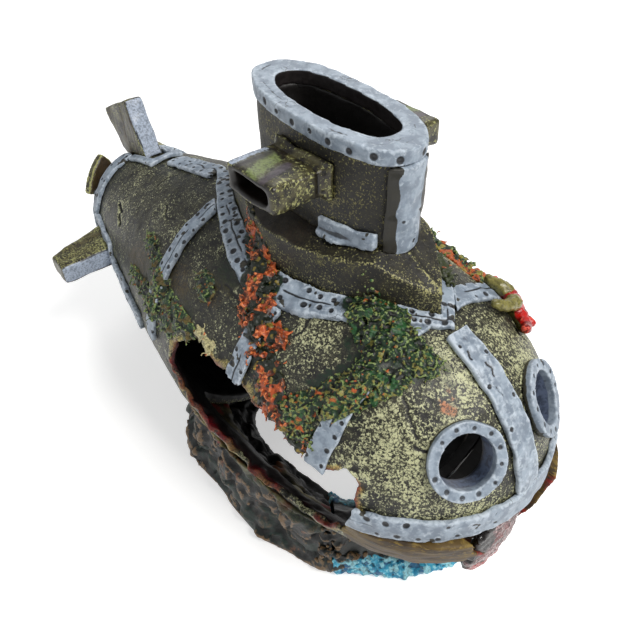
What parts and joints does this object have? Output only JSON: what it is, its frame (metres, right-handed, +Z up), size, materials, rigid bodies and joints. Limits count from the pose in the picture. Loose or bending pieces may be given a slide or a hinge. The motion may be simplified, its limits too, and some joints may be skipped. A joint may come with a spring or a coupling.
{
  "type": "resin cave ornament",
  "caption": "Sunken submarine cave ornament on a rock base, with torn side openings, an open tower well and portholes for aquarium fish.",
  "frame": {"origin": "on the ground under the middle of the overall length and width", "axes": "+X towards the bow, +Y to port, +Z up"},
  "size_m": [0.1624, 0.077, 0.1076],
  "materials": {
    "rock": "matt",
    "gravel": "matt",
    "hull": "matt",
    "belly": "matt",
    "strap": "matt",
    "fin": "matt",
    "propeller": "matt",
    "moss": "matt",
    "coral": "matt",
    "starfish": "matt"
  },
  "bodies": {
    "root": {"rock_base": "rock", "gravel_bed": "gravel", "hull_shell": "hull", "belly_plate": "belly", "waterline_strap_bow": "strap", "waterline_straps_stern": "strap", "nose_strap": "strap", "top_strap": "strap", "deck_strap": "strap", "hoop_fore": "strap", "hoop_mid": "strap", "hoop_aft": "strap", "stern_ring": "strap", "deck_casing": "hull", "tower_shell": "hull", "tower_rim": "strap", "prow_band": "strap", "tower_foot_strap": "strap", "sail_plane_starboard": "fin", "sail_plane_port": "fin", "porthole_ring_starboard": "strap", "porthole_ring_port": "strap", "top_fin": "fin", "top_fin_strap": "strap", "side_fin_starboard": "fin", "side_fin_strap_starboard": "strap", "side_fin_port": "fin", "side_fin_strap_port": "strap", "bottom_fin": "fin", "bottom_fin_strap": "strap", "stern_cap": "hull", "propeller": "propeller", "moss_bow": "moss", "coral_band": "coral", "moss_port": "moss", "starfish": "starfish"}
  },
  "joints": []
}
